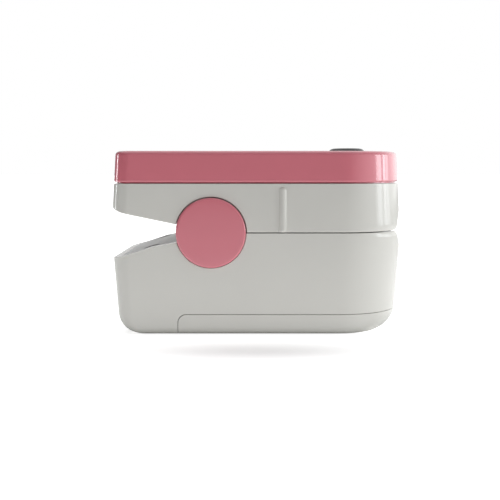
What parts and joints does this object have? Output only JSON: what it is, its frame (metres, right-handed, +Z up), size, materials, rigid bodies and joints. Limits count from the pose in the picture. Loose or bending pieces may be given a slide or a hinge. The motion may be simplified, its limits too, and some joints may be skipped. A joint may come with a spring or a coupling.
{
  "type": "fingertip pulse oximeter",
  "caption": "Small spring clip that closes on a fingertip; the upper half carries a display and a power button, the lower half holds cells behind a sliding door.",
  "frame": {"origin": "middle of the bounding box's base, on the surface that the object stands on", "axes": "+X towards the finger mouth, +Z up, Y along the hinge pin"},
  "size_m": [0.0586, 0.034, 0.0371],
  "materials": {
    "white_plastic": "satin",
    "pink_plastic": "gloss",
    "grey_silicone": "matte",
    "clear_window": "gloss",
    "dark_window": "gloss",
    "green_board": "satin",
    "black_plastic": "satin",
    "cream_plastic": "satin",
    "display_glass": "gloss",
    "amber_film": "satin",
    "cell_sleeve": "gloss",
    "spring_steel": "satin",
    "steel": "satin"
  },
  "bodies": {
    "base": {"lower_housing": "white_plastic", "lower_inner_cover": "white_plastic", "lower_pad": "grey_silicone", "lower_sensor_window": "clear_window", "detector_board": "green_board", "photodiode": "black_plastic", "flex_cable": "amber_film", "battery_1": "cell_sleeve", "battery_2": "cell_sleeve", "bridge_contact": "spring_steel", "positive_contact": "spring_steel", "negative_contact": "spring_steel", "hinge_pin": "steel", "torsion_spring_left": "spring_steel", "torsion_spring_right": "spring_steel", "hinge_cap_left": "pink_plastic", "hinge_cap_right": "pink_plastic", "housing_screw_1": "steel", "housing_screw_2": "steel", "housing_screw_3": "steel", "housing_screw_4": "steel"},
    "upper_jaw": {"upper_housing": "white_plastic", "top_cover": "pink_plastic", "display_window": "dark_window", "upper_pad": "grey_silicone", "upper_sensor_window": "clear_window", "emitter_board": "green_board", "emitter_led": "cream_plastic", "main_board": "green_board", "flex_socket": "cream_plastic", "processor_chip": "black_plastic", "display_carrier": "black_plastic", "display_module": "display_glass", "display_ribbon": "amber_film", "switch_body": "black_plastic", "cover_screw_1": "steel", "cover_screw_2": "steel", "cover_screw_3": "steel", "cover_screw_4": "steel"},
    "power_button": {"power_button": "black_plastic"},
    "switch_plunger": {"switch_plunger": "black_plastic"},
    "battery_door": {"battery_door": "white_plastic"}
  },
  "joints": [
    {"name": "clamp_hinge", "type": "hinge", "parent": "base", "child": "upper_jaw", "pos_m": [-0.0096, 0, 0.0202], "axis": [0, -1, 0], "range_deg": [0, 24], "stiffness_Nm_per_rad": 0.05, "springref_deg": -57.3, "deforming": ["torsion_spring_left", "torsion_spring_right", "flex_cable"]},
    {"name": "button_press", "type": "slide", "parent": "upper_jaw", "child": "power_button", "axis": [0, 0, -1], "range_m": [0, 0.0004], "stiffness_N_per_m": 1500, "springref_m": -0.0006},
    {"name": "plunger_press", "type": "slide", "parent": "upper_jaw", "child": "switch_plunger", "axis": [0, 0, -1], "range_m": [0, 0.0006]},
    {"name": "door_slide", "type": "slide", "parent": "base", "child": "battery_door", "axis": [1, 0, 0], "range_m": [0, 0.045]}
  ],
  "couplings": [
    {"joint": "plunger_press", "follows": "button_press", "ratio": 1}
  ]
}
